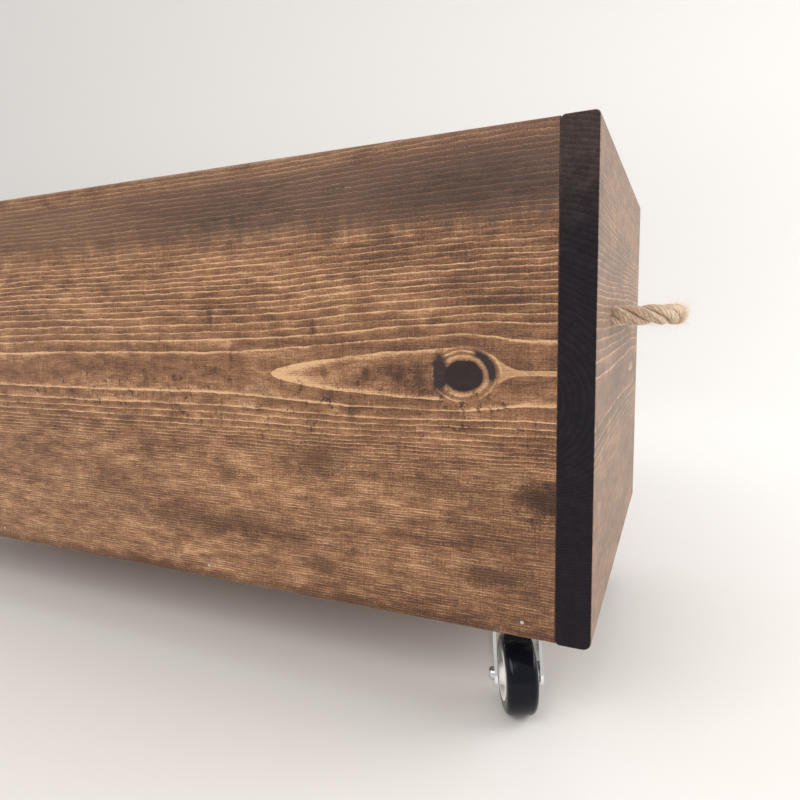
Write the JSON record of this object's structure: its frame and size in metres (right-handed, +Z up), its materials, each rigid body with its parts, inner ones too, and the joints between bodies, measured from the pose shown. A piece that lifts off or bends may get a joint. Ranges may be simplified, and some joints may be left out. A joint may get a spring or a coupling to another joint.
{
  "type": "rolling toy box",
  "caption": "Open wooden toy box of nailed stained boards on swivel castors, with a knotted rope loop handle through each end board.",
  "frame": {"origin": "on the floor, under the middle of the case", "axes": "+X along the case's length to its right end, +Y to the back, +Z up"},
  "size_m": [0.854, 0.318, 0.353],
  "materials": {
    "front_panel": "dark stained pine, satin",
    "back_panel": "dark stained pine, satin",
    "right_end_panel": "dark stained pine, satin",
    "left_end_panel": "dark stained pine, satin",
    "bottom_board": "dark stained pine, satin",
    "nail_steel": "bright wire",
    "natural_rope": "hairy three-strand natural fibre",
    "zinc_steel": "bright zinc plate",
    "screw_steel": "bright zinc plate",
    "bolt_steel": "bright zinc plate",
    "ball_steel": "polished and oiled",
    "hub_plastic": "moulded, slightly glossy",
    "wheel_tread": "hard, glossy"
  },
  "bodies": {
    "case": {"front_panel": "front_panel", "back_panel": "back_panel", "right_end_panel": "right_end_panel", "left_end_panel": "left_end_panel", "bottom_board": "bottom_board", "front_panel_nails": "nail_steel", "back_panel_nails": "nail_steel", "right_end_nails": "nail_steel", "left_end_nails": "nail_steel", "right_handle_front_knot": "natural_rope", "right_handle_back_knot": "natural_rope", "left_handle_front_knot": "natural_rope", "left_handle_back_knot": "natural_rope", "front_right_mounting_plate": "zinc_steel", "front_right_mounting_screws": "screw_steel", "front_right_kingpin": "zinc_steel", "front_left_mounting_plate": "zinc_steel", "front_left_mounting_screws": "screw_steel", "front_left_kingpin": "zinc_steel", "back_right_mounting_plate": "zinc_steel", "back_right_mounting_screws": "screw_steel", "back_right_kingpin": "zinc_steel", "back_left_mounting_plate": "zinc_steel", "back_left_mounting_screws": "screw_steel", "back_left_kingpin": "zinc_steel"},
    "right_handle": {"right_handle_rope": "natural_rope"},
    "left_handle": {"left_handle_rope": "natural_rope"},
    "front_right_swivel": {"front_right_swivel_balls": "ball_steel", "front_right_fork": "zinc_steel", "front_right_axle_bolt": "bolt_steel", "front_right_axle_nut": "bolt_steel"},
    "front_right_wheel": {"front_right_axle_sleeve": "ball_steel", "front_right_wheel_hub": "hub_plastic", "front_right_tyre": "wheel_tread"},
    "front_left_swivel": {"front_left_swivel_balls": "ball_steel", "front_left_fork": "zinc_steel", "front_left_axle_bolt": "bolt_steel", "front_left_axle_nut": "bolt_steel"},
    "front_left_wheel": {"front_left_axle_sleeve": "ball_steel", "front_left_wheel_hub": "hub_plastic", "front_left_tyre": "wheel_tread"},
    "back_right_swivel": {"back_right_swivel_balls": "ball_steel", "back_right_fork": "zinc_steel", "back_right_axle_bolt": "bolt_steel", "back_right_axle_nut": "bolt_steel"},
    "back_right_wheel": {"back_right_axle_sleeve": "ball_steel", "back_right_wheel_hub": "hub_plastic", "back_right_tyre": "wheel_tread"},
    "back_left_swivel": {"back_left_swivel_balls": "ball_steel", "back_left_fork": "zinc_steel", "back_left_axle_bolt": "bolt_steel", "back_left_axle_nut": "bolt_steel"},
    "back_left_wheel": {"back_left_axle_sleeve": "ball_steel", "back_left_wheel_hub": "hub_plastic", "back_left_tyre": "wheel_tread"}
  },
  "joints": [
    {"name": "right_handle_bend", "type": "hinge", "parent": "case", "child": "right_handle", "pos_m": [0.39, 0, 0.251], "axis": [0, -1, 0], "range_deg": [-80, 80], "stiffness_Nm_per_rad": 0.12, "springref_deg": 2.86},
    {"name": "left_handle_bend", "type": "hinge", "parent": "case", "child": "left_handle", "pos_m": [-0.39, 0, 0.251], "axis": [0, 1, 0], "range_deg": [-80, 80], "stiffness_Nm_per_rad": 0.12, "springref_deg": 2.86},
    {"name": "front_right_swivel_turn", "type": "hinge", "parent": "case", "child": "front_right_swivel", "pos_m": [0.3262, -0.1084, 0.062], "axis": [0, 0, 1], "continuous": true},
    {"name": "front_right_wheel_spin", "type": "hinge", "parent": "front_right_swivel", "child": "front_right_wheel", "pos_m": [0.33433, -0.12667, 0.0254], "axis": [0.9135, 0.4067, 0], "continuous": true},
    {"name": "front_left_swivel_turn", "type": "hinge", "parent": "case", "child": "front_left_swivel", "pos_m": [-0.3262, -0.1084, 0.062], "axis": [0, 0, 1], "continuous": true},
    {"name": "front_left_wheel_spin", "type": "hinge", "parent": "front_left_swivel", "child": "front_left_wheel", "pos_m": [-0.31681, -0.09074, 0.0254], "axis": [-0.8829, 0.4695, 0], "continuous": true},
    {"name": "back_right_swivel_turn", "type": "hinge", "parent": "case", "child": "back_right_swivel", "pos_m": [0.3262, 0.1084, 0.062], "axis": [0, 0, 1], "continuous": true},
    {"name": "back_right_wheel_spin", "type": "hinge", "parent": "back_right_swivel", "child": "back_right_wheel", "pos_m": [0.34461, 0.10059, 0.0254], "axis": [0.3907, 0.9205, 0], "continuous": true},
    {"name": "back_left_swivel_turn", "type": "hinge", "parent": "case", "child": "back_left_swivel", "pos_m": [-0.3262, 0.1084, 0.062], "axis": [0, 0, 1], "continuous": true},
    {"name": "back_left_wheel_spin", "type": "hinge", "parent": "back_left_swivel", "child": "back_left_wheel", "pos_m": [-0.33851, 0.09264, 0.0254], "axis": [0.788, -0.6157, 0], "continuous": true}
  ]
}
